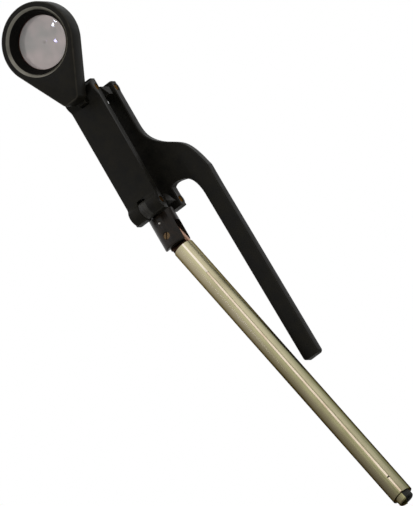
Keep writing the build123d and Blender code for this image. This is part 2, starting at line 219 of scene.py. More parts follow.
@dataclass(frozen=True)
class SatinEnamel(Finish):
    """Satin black enamel, sprayed on brass and baked, so it has a fine orange peel and a faint mottle."""

    dark: str = "#0c0b08"
    light: str = "#181610"
    roughness: float = 0.46
    gloss: float = 0.1
    mottle_size: float = 4.0
    mottle_low: float = 0.32
    mottle_high: float = 0.68
    peel_size: float = 0.55
    peel_height: float = 0.012
    peel_strength: float = 0.35
    speck_size: float = 1.9
    speck_core: float = 0.05
    speck_edge: float = 0.16
    speck_share: float = 0.035
    speck: str = "#6d6658"

    def dress(self, tree: NodeTree, shader: Node, place: Socket) -> None:
        """Mottled colour with a few pale worn specks, over a peel bump."""
        mottle = add(
            tree,
            "ShaderNodeTexNoise",
            {"Vector": place, "Scale": per_mm(self.mottle_size), "Detail": 5.0, "Roughness": 0.62},
        )
        spread = add(
            tree,
            "ShaderNodeMapRange",
            {"Value": mottle.outputs["Fac"], "From Min": self.mottle_low, "From Max": self.mottle_high},
        )
        colour = add(
            tree,
            "ShaderNodeMix",
            {"Factor": spread.outputs["Result"], "A": linear(self.dark), "B": linear(self.light)},
            data_type="RGBA",
        )
        cells = add(
            tree, "ShaderNodeTexVoronoi", {"Vector": place, "Scale": per_mm(self.speck_size)}, feature="F1"
        )
        near = add(
            tree,
            "ShaderNodeMapRange",
            {
                "Value": cells.outputs["Distance"],
                "From Min": self.speck_core,
                "From Max": self.speck_edge,
                "To Min": 1.0,
                "To Max": 0.0,
            },
        )
        chosen = add(
            tree, "ShaderNodeMath", {0: cells.outputs["Color"], 1: self.speck_share}, operation="LESS_THAN"
        )
        speck = add(
            tree, "ShaderNodeMath", {0: near.outputs["Result"], 1: chosen.outputs[0]}, operation="MULTIPLY"
        )
        worn = add(
            tree,
            "ShaderNodeMix",
            {"Factor": speck.outputs[0], "A": colour.outputs["Result"], "B": linear(self.speck)},
            data_type="RGBA",
        )
        peel = add(
            tree, "ShaderNodeTexNoise", {"Vector": place, "Scale": per_mm(self.peel_size), "Detail": 2.0}
        )
        bump = add(
            tree,
            "ShaderNodeBump",
            {
                "Height": peel.outputs["Fac"],
                "Strength": self.peel_strength,
                "Distance": self.peel_height * MM,
            },
        )
        shine = add(
            tree,
            "ShaderNodeMapRange",
            {
                "Value": mottle.outputs["Fac"],
                "From Min": 0.3,
                "From Max": 0.7,
                "To Min": self.roughness - 0.06,
                "To Max": self.roughness + 0.08,
            },
        )
        surface = {
            "Base Color": worn.outputs["Result"],
            "Roughness": shine.outputs["Result"],
            "Normal": bump.outputs["Normal"],
            "Specular IOR Level": self.gloss,
        }
        fill(tree, shader, surface)


@dataclass(frozen=True)
class DrawnNickel(Finish):
    """Old nickel plate on drawn brass: fine lines along it, a painted highlight beside the slot, painted
    shade to each side.

    A band's place is its share of the radius to one side of the slot's line. The far half has the same bands.
    The bands are painted reflection and shade: they stand in for what the curved plate would mirror, because
    the studio round it is plain.
    """

    # The bands are painted reflection and painted shade: light beside the slot's line, dark towards each
    # side.
    bands: tuple[tuple[float, str], ...] = (
        (-1.0, "#484030"),
        (-0.58, "#807860"),
        (-0.1, "#b8b488"),
        (0.28, "#c0b898"),
        (0.65, "#909070"),
        (0.93, "#504838"),
        (1.0, "#282418"),
    )
    # pale and pale_share: colour and strength of the painted highlight that grows towards the top.
    pale: str = "#e6d9b8"
    pale_share: float = 0.35
    stain: str = "#6f6848"
    stain_share: float = 0.4
    edge_tint: str = "#77705c"
    roughness: float = 0.3
    line_width: float = 0.16
    line_length: float = 30.0
    line_height: float = 0.01
    cloud_size: float = 12.0
    radius: float = 4.0
    length: float = 123.0
    band_drift: float = 0.12
    # rubbed and its half width: the near-white painted highlight line beside the slot's line, above the
    # slot's end.
    rubbed: str = "#fbeedd"
    highlight_half_width: float = 0.34

    def dress(self, tree: NodeTree, shader: Node, place: Socket) -> None:
        """Painted reflection and shade bands, a painted highlight towards the top, tarnish clouds, draw lines
        and a painted highlight line.
        """
        sideways = (-sin(SLOT_AZIMUTH), cos(SLOT_AZIMUTH), 0)
        beside = add(tree, "ShaderNodeVectorMath", {0: place, 1: sideways}, operation="DOT_PRODUCT")
        across = add(
            tree, "ShaderNodeMath", {0: beside.outputs["Value"], 1: self.radius * MM}, operation="DIVIDE"
        )
        fine = per_mm(self.line_width)
        stretch = add(
            tree, "ShaderNodeMapping", {"Vector": place, "Scale": (fine, fine, per_mm(self.line_length))}
        )
        lines = add(
            tree, "ShaderNodeTexNoise", {"Vector": stretch.outputs["Vector"], "Scale": 1.0, "Detail": 3.0}
        )
        drift = add(
            tree,
            "ShaderNodeMapRange",
            {"Value": lines.outputs["Fac"], "To Min": -self.band_drift, "To Max": self.band_drift},
        )
        position = add(
            tree, "ShaderNodeMath", {0: across.outputs[0], 1: drift.outputs["Result"]}, operation="ADD"
        )
        # The ramp lays out the painted reflection and shade bands across the tube.
        share = add(tree, "ShaderNodeMapRange", {"Value": position.outputs[0], "From Min": -1.0})
        ramp = add(tree, "ShaderNodeValToRGB", {"Fac": share.outputs["Result"]})
        stops = ramp.color_ramp.elements
        while len(stops) < len(self.bands):
            stops.new(1.0)
        for stop, (at, colour) in zip(stops, self.bands):
            stop.position = (at + 1) / 2
            stop.color = linear(colour)
        height = add(tree, "ShaderNodeSeparateXYZ", {"Vector": place})
        # Painted highlight: the colour turns towards the pale colour up the top half of the tube.
        rise = add(
            tree,
            "ShaderNodeMapRange",
            {
                "Value": height.outputs["Z"],
                "From Min": 0.5 * self.length * MM,
                "From Max": self.length * MM,
                "To Max": self.pale_share,
            },
        )
        top_lit_colour = add(
            tree,
            "ShaderNodeMix",
            {"Factor": rise.outputs["Result"], "A": ramp.outputs["Color"], "B": linear(self.pale)},
            data_type="RGBA",
        )
        cloud = add(
            tree, "ShaderNodeTexNoise", {"Vector": place, "Scale": per_mm(self.cloud_size), "Detail": 6.0}
        )
        haze = add(
            tree,
            "ShaderNodeMapRange",
            {"Value": cloud.outputs["Fac"], "From Min": 0.45, "From Max": 0.75, "To Max": self.stain_share},
        )
        tarnish = add(
            tree,
            "ShaderNodeMix",
            {"Factor": haze.outputs["Result"], "A": top_lit_colour.outputs["Result"], "B": linear(self.stain)},
            data_type="RGBA",
        )
        # Painted highlight: a thin near-white line beside the slot's line, on the slot's side, above the
        # slot's end.
        ahead = add(
            tree,
            "ShaderNodeVectorMath",
            {0: place, 1: (cos(SLOT_AZIMUTH), sin(SLOT_AZIMUTH), 0)},
            operation="DOT_PRODUCT",
        )
        near = add(
            tree,
            "ShaderNodeMath",
            {0: beside.outputs["Value"], 1: 0.0, 2: self.highlight_half_width * MM},
            operation="COMPARE",
        )
        front = add(tree, "ShaderNodeMath", {0: ahead.outputs["Value"], 1: 0.0}, operation="GREATER_THAN")
        above = add(
            tree, "ShaderNodeMath", {0: height.outputs["Z"], 1: SLOT_TOP * MM}, operation="GREATER_THAN"
        )
        both = add(tree, "ShaderNodeMath", {0: near.outputs[0], 1: front.outputs[0]}, operation="MULTIPLY")
        line = add(tree, "ShaderNodeMath", {0: both.outputs[0], 1: above.outputs[0]}, operation="MULTIPLY")
        rubbed = add(
            tree,
            "ShaderNodeMix",
            {"Factor": line.outputs[0], "A": tarnish.outputs["Result"], "B": linear(self.rubbed)},
            data_type="RGBA",
        )
        shine = add(
            tree,
            "ShaderNodeMapRange",
            {
                "Value": lines.outputs["Fac"],
                "From Min": 0.3,
                "From Max": 0.7,
                "To Min": self.roughness - 0.06,
                "To Max": self.roughness + 0.1,
            },
        )
        bump = add(
            tree,
            "ShaderNodeBump",
            {"Height": lines.outputs["Fac"], "Strength": 0.25, "Distance": self.line_height * MM},
        )
        surface = {
            "Base Color": rubbed.outputs["Result"],
            "Roughness": shine.outputs["Result"],
            "Normal": bump.outputs["Normal"],
            "Metallic": 1.0,
            "Specular Tint": linear(self.edge_tint),
        }
        fill(tree, shader, surface)


@dataclass(frozen=True)
class TurnedMetal(Finish):
    """Bare metal off the lathe, with fine rings about an axis, gone a little uneven with handling."""

    colour: str = "#b8935a"
    stain: str = "#7d6138"
    edge_tint: str = "#9a9488"
    roughness: float = 0.32
    ring_pitch: float = 0.12
    ring_height: float = 0.006
    stain_size: float = 1.6
    stain_share: float = 0.5
    centre: tuple[float, float, float] = (0.0, 0.0, 0.0)
    across: tuple[float, float, float] = (1.0, 0.0, 1.0)

    def dress(self, tree: NodeTree, shader: Node, place: Socket) -> None:
        """Rings from the distance to the axis through the centre, and a cloudy stain."""
        centred = add(tree, "ShaderNodeVectorMath", {0: place, 1: self.centre}, operation="SUBTRACT")
        flat = add(
            tree, "ShaderNodeVectorMath", {0: centred.outputs["Vector"], 1: self.across}, operation="MULTIPLY"
        )
        radius = add(tree, "ShaderNodeVectorMath", {0: flat.outputs["Vector"]}, operation="LENGTH")
        rings = add(
            tree,
            "ShaderNodeTexNoise",
            {"W": radius.outputs["Value"], "Scale": per_mm(self.ring_pitch), "Detail": 2.0},
            noise_dimensions="1D",
        )
        cloud = add(
            tree, "ShaderNodeTexNoise", {"Vector": place, "Scale": per_mm(self.stain_size), "Detail": 5.0}
        )
        haze = add(
            tree,
            "ShaderNodeMapRange",
            {"Value": cloud.outputs["Fac"], "From Min": 0.4, "From Max": 0.7, "To Max": self.stain_share},
        )
        colour = add(
            tree,
            "ShaderNodeMix",
            {"Factor": haze.outputs["Result"], "A": linear(self.colour), "B": linear(self.stain)},
            data_type="RGBA",
        )
        shine = add(
            tree,
            "ShaderNodeMapRange",
            {"Value": rings.outputs["Fac"], "To Min": self.roughness - 0.08, "To Max": self.roughness + 0.12},
        )
        bump = add(
            tree,
            "ShaderNodeBump",
            {"Height": rings.outputs["Fac"], "Strength": 0.4, "Distance": self.ring_height * MM},
        )
        surface = {
            "Base Color": colour.outputs["Result"],
            "Roughness": shine.outputs["Result"],
            "Normal": bump.outputs["Normal"],
            "Metallic": 1.0,
            "Specular Tint": linear(self.edge_tint),
        }
        fill(tree, shader, surface)


@dataclass(frozen=True)
class MilledSurface(Finish):
    """Blackened or bare metal off the milling cutter, with straight fine lines along one direction."""

    colour: str = "#12110e"
    lit: str = "#2a2822"
    metallic: float = 0.0
    roughness: float = 0.42
    line_pitch: float = 0.42
    line_height: float = 0.03
    across: tuple[float, float, float] = (1.0, 0.0, 0.0)

    def dress(self, tree: NodeTree, shader: Node, place: Socket) -> None:
        """Lines from the distance along one direction, a little uneven in depth."""
        along = add(tree, "ShaderNodeVectorMath", {0: place, 1: self.across}, operation="DOT_PRODUCT")
        lines = add(
            tree,
            "ShaderNodeTexNoise",
            {"W": along.outputs["Value"], "Scale": per_mm(self.line_pitch), "Detail": 1.5},
            noise_dimensions="1D",
        )
        ridge = add(
            tree, "ShaderNodeMapRange", {"Value": lines.outputs["Fac"], "From Min": 0.35, "From Max": 0.65}
        )
        # The ridges take the lit colour: a painted highlight along the milling lines.
        colour = add(
            tree,
            "ShaderNodeMix",
            {"Factor": ridge.outputs["Result"], "A": linear(self.colour), "B": linear(self.lit)},
            data_type="RGBA",
        )
        bump = add(
            tree,
            "ShaderNodeBump",
            {"Height": ridge.outputs["Result"], "Strength": 0.6, "Distance": self.line_height * MM},
        )
        surface = {
            "Base Color": colour.outputs["Result"],
            "Normal": bump.outputs["Normal"],
            "Metallic": self.metallic,
            "Roughness": self.roughness,
            "Specular IOR Level": 0.3,
        }
        fill(tree, shader, surface)


@dataclass(frozen=True)
class CoatedGlass(Finish):
    """Polished lens glass with an old coating, half clear; the milky warm pink to grey half is painted light,
    standing for the pale background seen through it.
    """

    warm: str = "#cabdba"
    grey: str = "#aeaaa7"
    cloud_size: float = 9.0
    clearness: float = 0.45
    roughness: float = 0.02
    index: float = 1.52

    def dress(self, tree: NodeTree, shader: Node, place: Socket) -> None:
        """A tint that drifts from warm to grey across the lens."""
        cloud = add(
            tree, "ShaderNodeTexNoise", {"Vector": place, "Scale": per_mm(self.cloud_size), "Detail": 2.0}
        )
        spread = add(
            tree, "ShaderNodeMapRange", {"Value": cloud.outputs["Fac"], "From Min": 0.35, "From Max": 0.65}
        )
        # Painted light: the milky tint stands in for the pale background seen through the lens.
        colour = add(
            tree,
            "ShaderNodeMix",
            {"Factor": spread.outputs["Result"], "A": linear(self.warm), "B": linear(self.grey)},
            data_type="RGBA",
        )
        surface = {
            "Base Color": colour.outputs["Result"],
            "Roughness": self.roughness,
            "IOR": self.index,
            "Transmission Weight": self.clearness,
        }
        fill(tree, shader, surface)


@dataclass(frozen=True)
class MouldedBlack(Finish):
    """Black nylon or rubber, moulded, matt, with a fine spark-eroded grain."""

    colour: str = "#17140f"
    roughness: float = 0.6
    grain_size: float = 0.3
    grain_height: float = 0.02

    def dress(self, tree: NodeTree, shader: Node, place: Socket) -> None:
        """Even black with a grain bump and a slightly uneven shine."""
        grain = add(
            tree, "ShaderNodeTexNoise", {"Vector": place, "Scale": per_mm(self.grain_size), "Detail": 3.0}
        )
        shine = add(
            tree,
            "ShaderNodeMapRange",
            {"Value": grain.outputs["Fac"], "To Min": self.roughness - 0.1, "To Max": self.roughness + 0.1},
        )
        bump = add(
            tree,
            "ShaderNodeBump",
            {"Height": grain.outputs["Fac"], "Strength": 0.3, "Distance": self.grain_height * MM},
        )
        surface = {
            "Roughness": shine.outputs["Result"],
            "Normal": bump.outputs["Normal"],
            "Base Color": linear(self.colour),
            "Specular IOR Level": 0.25,
        }
        fill(tree, shader, surface)


ENAMEL = SatinEnamel("satin_black_enamel")
RUBBED_ENAMEL = SatinEnamel(
    "rubbed_enamel_edge", dark="#25231e", light="#36332c", roughness=0.38, speck_share=0.12
)
BARREL_ENAMEL = SatinEnamel(
    "handled_enamel",
    dark="#100e0b",
    light="#241c15",
    roughness=0.33,
    gloss=0.2,
    mottle_size=1.8,
    speck_share=0.08,
)
RECESS_BLACK = SatinEnamel("matt_black_lacquer", dark="#0a0908", light="#12100d", roughness=0.7, gloss=0.08)
TUBE_NICKEL = DrawnNickel("aged_nickel_plate_with_painted_sheen")
ROD_NICKEL = DrawnNickel("worn_nickel_rod_with_painted_sheen", pale="#f2e2d2", roughness=0.34, radius=3.05)
# Painted highlight: the near-white strip in the tube's slot stands in for the light seen there.
SLOT_HIGHLIGHT_METAL = TurnedMetal(
    "painted_highlight_nickel_silver", colour="#f6e6cf", stain="#c9b08a", roughness=0.4, stain_size=9.0, stain_share=0.6
)
COPPER_HEAD = MilledSurface(
    "bright_copper_tongue",
    colour="#8a6650",
    lit="#b98f76",
    metallic=1.0,
    roughness=0.36,
    across=(0.0, 0.0, 1.0),
)
# Dark copy of the tongue's copper: painted shade on the tongue's faces and the collar.
SHADED_COPPER = TurnedMetal("copper_in_painted_shade", colour="#2b1d16", stain="#120d0a", across=(1.0, 1.0, 0.0))
MILLED_BLACK = MilledSurface("milled_black_tongue")
PIN_BRASS = TurnedMetal("turned_brass", colour="#62503a", stain="#33281b")
SCREW_STEEL = TurnedMetal("turned_steel", colour="#9d9a94", stain="#6c655a")
BARE_LIP = TurnedMetal(
    "bare_turned_lip",
    colour="#7c7970",
    stain="#4a473f",
    roughness=0.32,
    stain_size=5.0,
    stain_share=0.4,
    centre=tuple(HEAD.to_row(*LENS_CENTRE)),
)
SEAT_COPPER = TurnedMetal(
    "lens_seat_copper", colour="#6b4030", stain="#3a241c", centre=tuple(HEAD.to_row(*LENS_CENTRE))
)
LENS_GLASS = CoatedGlass("coated_lens_glass")
GROUND_EDGE = MouldedBlack("blackened_ground_edge", colour="#100e0c")
NYLON = MouldedBlack("black_nylon")


# Making and finishing meshes


def new_object(name: str, mesh: bpy.types.Mesh) -> bpy.types.Object:
    """Links a mesh into the scene as an object at the origin."""
    made = bpy.data.objects.new(name, mesh)
    bpy.context.scene.collection.objects.link(made)
    return made


def cad_copy(node: str, name: str) -> bpy.types.Object:
    """Copies a CAD node's mesh, merges its loose triangles and joins those that lie flat.

    Args:
        node: The CAD node.
        name: The new piece's name.

    Returns:
        The copy, at the origin.
    """
    source = frame["nodes"][node]
    mesh = source.data.copy()
    mesh.transform(source.matrix_world)
    mesh.materials.clear()
    shape = bmesh.new()
    shape.from_mesh(mesh)
    bmesh.ops.remove_doubles(shape, verts=shape.verts, dist=MERGE_DISTANCE)
    bmesh.ops.dissolve_limit(
        shape, angle_limit=FLAT_ANGLE, verts=shape.verts, edges=shape.edges, use_dissolve_boundaries=False
    )
    shape.to_mesh(mesh)
    shape.free()
    return new_object(name, mesh)


def paint(piece: bpy.types.Object, finishes: list[Finish], zone: Zone | None = None) -> None:
    """Gives a piece its materials.

    Args:
        piece: The piece.
        finishes: Its finishes, the main one first.
        zone: Picks a finish's index from a face's centre and normal in the head frame.
    """
    piece.data.materials.clear()
    for finish in finishes:
        piece.data.materials.append(finish.build())
    for face in piece.data.polygons:
        face.material_index = zone(HEAD.from_row(face.center), HEAD.turn_in(face.normal)) if zone else 0


def bake_modifiers(piece: bpy.types.Object) -> None:
    """Turns a piece's modifiers into a plain mesh and removes them."""
    graph = bpy.context.evaluated_depsgraph_get()
    mesh = bpy.data.meshes.new_from_object(
        piece.evaluated_get(graph), preserve_all_data_layers=True, depsgraph=graph
    )
    piece.modifiers.clear()
    piece.data = mesh
    mesh.name = piece.name


def round_edges(piece: bpy.types.Object, width: float, segments: int = 2, edge_finish: int = -1) -> None:
    """Rounds a piece's sharp edges and smooths its shading.

    Args:
        piece: The piece.
        width: Width of the rounding, in millimetres.
        segments: Faces across the rounding.
        edge_finish: Index of the finish for the rounded edges, or -1 to keep their neighbours' finish.
    """
    piece.data.shade_smooth()
    bevel = piece.modifiers.new("round", "BEVEL")
    bevel.width = width * MM
    bevel.segments = segments
    bevel.limit_method = "ANGLE"
    bevel.angle_limit = SHARP_ANGLE
    bevel.use_clamp_overlap = True
    bevel.harden_normals = True
    bevel.material = edge_finish
    bake_modifiers(piece)


def smooth_shading(piece: bpy.types.Object) -> None:
    """Shades a piece smooth apart from its sharp edges."""
    piece.data.shade_smooth()
    piece.data.set_sharp_from_angle(angle=SHARP_ANGLE)


def publish(piece: bpy.types.Object, body: Body, slot: str, *nodes: str) -> None:
    """Sets a finished piece on its body and hides the CAD nodes that it stands for."""
    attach(piece, body.value)
    if nodes:
        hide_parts(*nodes)
    log.info("%s: %d faces on %s", piece.name, len(piece.data.polygons), body.value)


def dressed_copy(
    node: str,
    name: str,
    body: Body,
    slot: str,
    finishes: list[Finish],
    width: float,
    zone: Zone | None = None,
    edge_finish: int = -1,
) -> None:
    """Makes and publishes a piece that has a CAD node's shape, with rounded edges and its finishes.

    Args:
        node: The CAD node, which the piece stands for.
        name: The piece's name.
        body: The body that it rides on.
        slot: Its material slot; not used.
        finishes: Its finishes, the main one first.
        width: Width of the rounded edges in millimetres, or 0 to leave them as they are.
        zone: Picks a finish's index from a face's centre and normal in the head frame.
        edge_finish: Index of the finish for the rounded edges, or -1 to keep their neighbours' finish.
    """
    piece = cad_copy(node, name)
    paint(piece, finishes, zone)
    if width:
        round_edges(piece, width, edge_finish=edge_finish)
    else:
        smooth_shading(piece)
    publish(piece, body, slot, node)


class GeometryTree:
    """A Geometry Nodes tree with named inputs, which makes one plain mesh."""

    def __init__(self, name: str, sizes: dict[str, float]) -> None:
        """Starts the tree.

        Args:
            name: Name of the tree and of the piece that it makes.
            sizes: The tree's named sizes, in millimetres or plain numbers.
        """
        self.name = name
        self.sizes = sizes
        self.tree = bpy.data.node_groups.new(name, "GeometryNodeTree")
        self.tree.interface.new_socket("Geometry", in_out="INPUT", socket_type="NodeSocketGeometry")
        self.tree.interface.new_socket("Geometry", in_out="OUTPUT", socket_type="NodeSocketGeometry")
        for label in sizes:
            self.tree.interface.new_socket(label, in_out="INPUT", socket_type="NodeSocketFloat")
        self.inputs = self.tree.nodes.new("NodeGroupInput").outputs

    def node(self, kind: str, inputs: dict | None = None, **settings: object) -> Node:
        """Adds one node to the tree."""
        return add(self.tree, kind, inputs, **settings)

    def make(self, geometry: Socket, finish: Finish, matrix: Matrix) -> bpy.types.Object:
        """Ends the tree, runs it once and sets the mesh in its place.

        Args:
            geometry: The socket with the tree's result, in millimetres.
            finish: The finish of all its faces.
            matrix: Place of the result in the row frame.

        Returns:
            The piece, a plain mesh at the origin.
        """
        real = self.node("GeometryNodeRealizeInstances", {"Geometry": geometry})
        dressed = self.node(
            "GeometryNodeSetMaterial", {"Geometry": real.outputs["Geometry"], "Material": finish.build()}
        )
        output = self.tree.nodes.new("NodeGroupOutput")
        self.tree.links.new(dressed.outputs["Geometry"], output.inputs["Geometry"])
        piece = new_object(self.name, bpy.data.meshes.new(self.name))
        modifier = piece.modifiers.new("shape", "NODES")
        modifier.node_group = self.tree
        for item in self.tree.interface.items_tree:
            if item.item_type == "SOCKET" and item.in_out == "INPUT" and item.name in self.sizes:
                modifier[item.identifier] = float(self.sizes[item.name])
        bake_modifiers(piece)
        piece.data.transform(matrix)
        smooth_shading(piece)
        return piece


# Sub-assemblies


@dataclass
class GuideTube:
    """Guide tube, its bush and the tube head with its cross pin."""

    edge: float = 0.08
    strip_width: float = 0.72
    strip_thickness: float = 0.3
    strip_radius: float = 3.72
    strip_gap: float = 0.3
    strip_end_gap: float = 0.02
    collar_height: float = 0.65
    side_facing: float = 0.7
    collar_top: float = field(init=False)

    def __post_init__(self) -> None:
        """Reads the height of the collar's top from the tube."""
        self.collar_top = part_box("guide_tube")[1][2] / MM + self.collar_height

    def build(self) -> None:
        """Makes and publishes the pieces that stay with the tube."""
        body = Body.TUBE
        dressed_copy("guide_tube", "tube_shell", body, "nickel_plate", [TUBE_NICKEL], self.edge)
        publish(self.slot_strip(), body, "nickel_plate")
        dressed_copy("rod_guide_bush", "tube_bush", body, "brass", [PIN_BRASS], self.edge / 2)
        copper = [COPPER_HEAD, SHADED_COPPER]
        dressed_copy("tube_head", "tube_tongue", body, "plated_head", copper, self.edge, self.head_zone)
        dressed_copy("head_cross_pin", "tube_cross_pin", body, "steel", [SCREW_STEEL], self.edge)

    def slot_strip(self) -> bpy.types.Object:
        """Makes the bright strip in the tube's slot, a painted highlight: one bar beside the bush and one
        above it.
        """
        bush_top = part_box("rod_guide_bush")[1][2] / MM
        sizes = {"Bush top": bush_top, "High": SLOT_TOP - self.strip_end_gap, "Gap": self.strip_gap}
        shape = GeometryTree("slot_strip", sizes)
        first = shape.node(
            "ShaderNodeMath", {0: shape.inputs["Bush top"], 1: shape.inputs["Gap"]}, operation="ADD"
        )
        last = shape.node(
            "ShaderNodeMath", {0: shape.inputs["Bush top"], 1: shape.inputs["Gap"]}, operation="SUBTRACT"
        )
        line = shape.node("GeometryNodeJoinGeometry")
        for low, high in ((first.outputs[0], shape.inputs["High"]), (shape.inputs["Gap"], last.outputs[0])):
            start = shape.node("ShaderNodeCombineXYZ", {"Z": low})
            end = shape.node("ShaderNodeCombineXYZ", {"Z": high})
            stretch = shape.node(
                "GeometryNodeCurvePrimitiveLine", {"Start": start.outputs[0], "End": end.outputs[0]}
            )
            shape.tree.links.new(stretch.outputs["Curve"], line.inputs["Geometry"])
        profile = shape.node(
            "GeometryNodeCurvePrimitiveQuadrilateral",
            {"Width": self.strip_width, "Height": self.strip_thickness},
        )
        bar = shape.node(
            "GeometryNodeCurveToMesh",
            {"Curve": line.outputs["Geometry"], "Profile Curve": profile.outputs["Curve"], "Fill Caps": True},
        )
        away = Matrix.Translation((0, self.strip_radius, 0))
        turn = Matrix.Rotation(SLOT_AZIMUTH - radians(90), 4, "Z")
        return shape.make(bar.outputs["Mesh"], SLOT_HIGHLIGHT_METAL, Matrix.Scale(MM, 4) @ turn @ away)

    def head_zone(self, centre: Vector, normal: Vector) -> int:
        """The tongue's narrow sides are bright copper; its faces and the collar take a dark copper that is
        painted shade.
        """
        return int(HEAD.to_row(*centre).z / MM < self.collar_top or abs(normal.y) > self.side_facing)


@dataclass
class TelescopicRod:
    """Inner rod with the insert in its end and its stop ring."""

    edge: float = 0.1

    def build(self) -> None:
        """Makes and publishes the sliding pieces."""
        body = Body.ROD
        dressed_copy("inner_rod", "sliding_rod", body, "nickel_plate", [ROD_NICKEL], self.edge)
        dressed_copy("rod_end_insert", "rod_insert", body, "black_nylon", [NYLON], self.edge)
        dressed_copy("rod_stop_ring", "rod_stop", body, "brass", [PIN_BRASS], self.edge / 2)


@dataclass
class Fork:
    """Fork barrel on the pivot, with its screw, washers and pin, and the lower hinge block."""

    edge: float = 0.12
    tongue_half_width: float = 1.9
    edge_facing: float = 0.5

    def build(self) -> None:
        """Makes and publishes the pieces that swing on the tube's head."""
        body = Body.FORK
        barrel = [BARREL_ENAMEL, RUBBED_ENAMEL]
        dressed_copy("fork_barrel", "socket_barrel", body, "black_barrel", barrel, self.edge, edge_finish=1)
        dressed_copy("pivot_screw", "swing_screw", body, "brass", [PIN_BRASS], self.edge / 2)
        dressed_copy("pivot_washers", "swing_washers", body, "steel", [SCREW_STEEL], self.edge / 3)
        dressed_copy("barrel_lock_pin", "socket_pin", body, "steel", [SCREW_STEEL], self.edge)
        block = [ENAMEL, MILLED_BLACK, RUBBED_ENAMEL]
        dressed_copy("hinge_block", "lower_block", body, "black_enamel", block, self.edge, self.block_zone, 2)

    def block_zone(self, centre: Vector, normal: Vector) -> int:
        """The round edges of the block's tongues show the milling cutter's lines."""
        return int(abs(centre.x) < self.tongue_half_width and abs(normal.x) < self.edge_facing)


@dataclass
class ParallelArms:
    """Front arm, rear arm with its lever, and the four hinge pins."""

    edge: float = 0.12
    pin_radius: float = 1.3
    pin_crown: float = 0.22
    pin_sides: int = 40
    pin_stations: int = 81

    def build(self) -> None:
        """Makes and publishes both arms and their pins."""
        for node, name, body in (
            ("front_arm", "front_plate", Body.FRONT_LINK),
            ("rear_arm_lever", "lever_plate", Body.LEVER_LINK),
        ):
            enamel = [ENAMEL, RUBBED_ENAMEL]
            dressed_copy(node, name, body, "black_enamel", enamel, self.edge, edge_finish=1)
        for name, body, nodes in (
            ("front_hinge_pins", Body.FRONT_LINK, ("lower_front_pin", "upper_front_pin")),
            ("rear_hinge_pins", Body.LEVER_LINK, ("lower_rear_pin", "upper_rear_pin")),
        ):
            publish(self.hinge_pins(name, nodes), body, "brass", *nodes)

    def hinge_pins(self, name: str, nodes: tuple[str, str]) -> bpy.types.Object:
        """Makes an arm's two pins: turned bars with crowned ends, one at each CAD pin.

        Args:
            name: The piece's name.
            nodes: The lower and the upper CAD pin.

        Returns:
            The piece.
        """
        lower, upper = (node_centre(node) for node in nodes)
        sizes = {
            "Radius": self.pin_radius,
            "Half length": self.half_length(nodes[0]),
            "Crown": self.pin_crown,
            "Spacing": upper.z - lower.z,
        }
        shape = GeometryTree(name, sizes)
        half, crown = shape.inputs["Half length"], shape.inputs["Crown"]
        end = shape.node("ShaderNodeCombineXYZ", {"X": half})
        start = shape.node("ShaderNodeVectorMath", {0: end.outputs[0], 1: (-1, -1, -1)}, operation="MULTIPLY")
        line = shape.node(
            "GeometryNodeCurvePrimitiveLine", {"Start": start.outputs[0], "End": end.outputs[0]}
        )
        stations = shape.node(
            "GeometryNodeResampleCurve", {"Curve": line.outputs["Curve"], "Count": self.pin_stations}
        )
        factor = shape.node("GeometryNodeSplineParameter")
        middle = shape.node("ShaderNodeMath", {0: factor.outputs["Factor"], 1: 0.5}, operation="SUBTRACT")
        away = shape.node("ShaderNodeMath", {0: middle.outputs[0]}, operation="ABSOLUTE")
        double = shape.node("ShaderNodeMath", {0: away.outputs[0], 1: 2.0}, operation="MULTIPLY")
        travel = shape.node("ShaderNodeMath", {0: double.outputs[0], 1: half}, operation="MULTIPLY")
        left = shape.node("ShaderNodeMath", {0: half, 1: travel.outputs[0]}, operation="SUBTRACT")
        share = shape.node("ShaderNodeMath", {0: left.outputs[0], 1: crown}, operation="DIVIDE")
        held = shape.node("ShaderNodeClamp", {"Value": share.outputs[0]})
        fall = shape.node("ShaderNodeMath", {0: 1.0, 1: held.outputs[0]}, operation="SUBTRACT")
        square = shape.node("ShaderNodeMath", {0: fall.outputs[0], 1: 2.0}, operation="POWER")
        cut = shape.node("ShaderNodeMath", {0: square.outputs[0], 1: crown}, operation="MULTIPLY")
        scaled = shape.node(
            "ShaderNodeMath", {0: shape.inputs["Radius"], 1: cut.outputs[0]}, operation="SUBTRACT"
        )
        profile = shape.node(
            "GeometryNodeCurvePrimitiveCircle", {"Resolution": self.pin_sides, "Radius": 1.0}, mode="RADIUS"
        )
        turned = shape.node(
            "GeometryNodeCurveToMesh",
            {
                "Curve": stations.outputs["Curve"],
                "Profile Curve": profile.outputs["Curve"],
                "Scale": scaled.outputs[0],
                "Fill Caps": True,
            },
        )
        offset = shape.node("ShaderNodeCombineXYZ", {"Z": shape.inputs["Spacing"]})
        places = shape.node("GeometryNodeMeshLine", {"Count": 2, "Offset": offset.outputs[0]})
        pins = shape.node(
            "GeometryNodeInstanceOnPoints",
            {"Points": places.outputs["Mesh"], "Instance": turned.outputs["Mesh"]},
        )
        return shape.make(pins.outputs["Instances"], PIN_BRASS, HEAD.matrix @ Matrix.Translation(lower))

    def half_length(self, node: str) -> float:
        """Half of a CAD pin's length, from its vertices along the pin."""
        along = [HEAD.from_row(v.co).x for v in frame["nodes"][node].data.vertices]
        return (max(along) - min(along)) / 2


@dataclass
class LensCarrier:
    """Carrier block at the arms' upper ends and its two screws."""

    edge: float = 0.12

    def build(self) -> None:
        """Makes and publishes the block and the screws."""
        body = Body.LENS_HEAD
        enamel = [ENAMEL, RUBBED_ENAMEL]
        dressed_copy("carrier_block", "upper_block", body, "black_enamel", enamel, self.edge, edge_finish=1)
        dressed_copy("cell_screws", "pad_screws", body, "steel", [SCREW_STEEL], self.edge / 3)


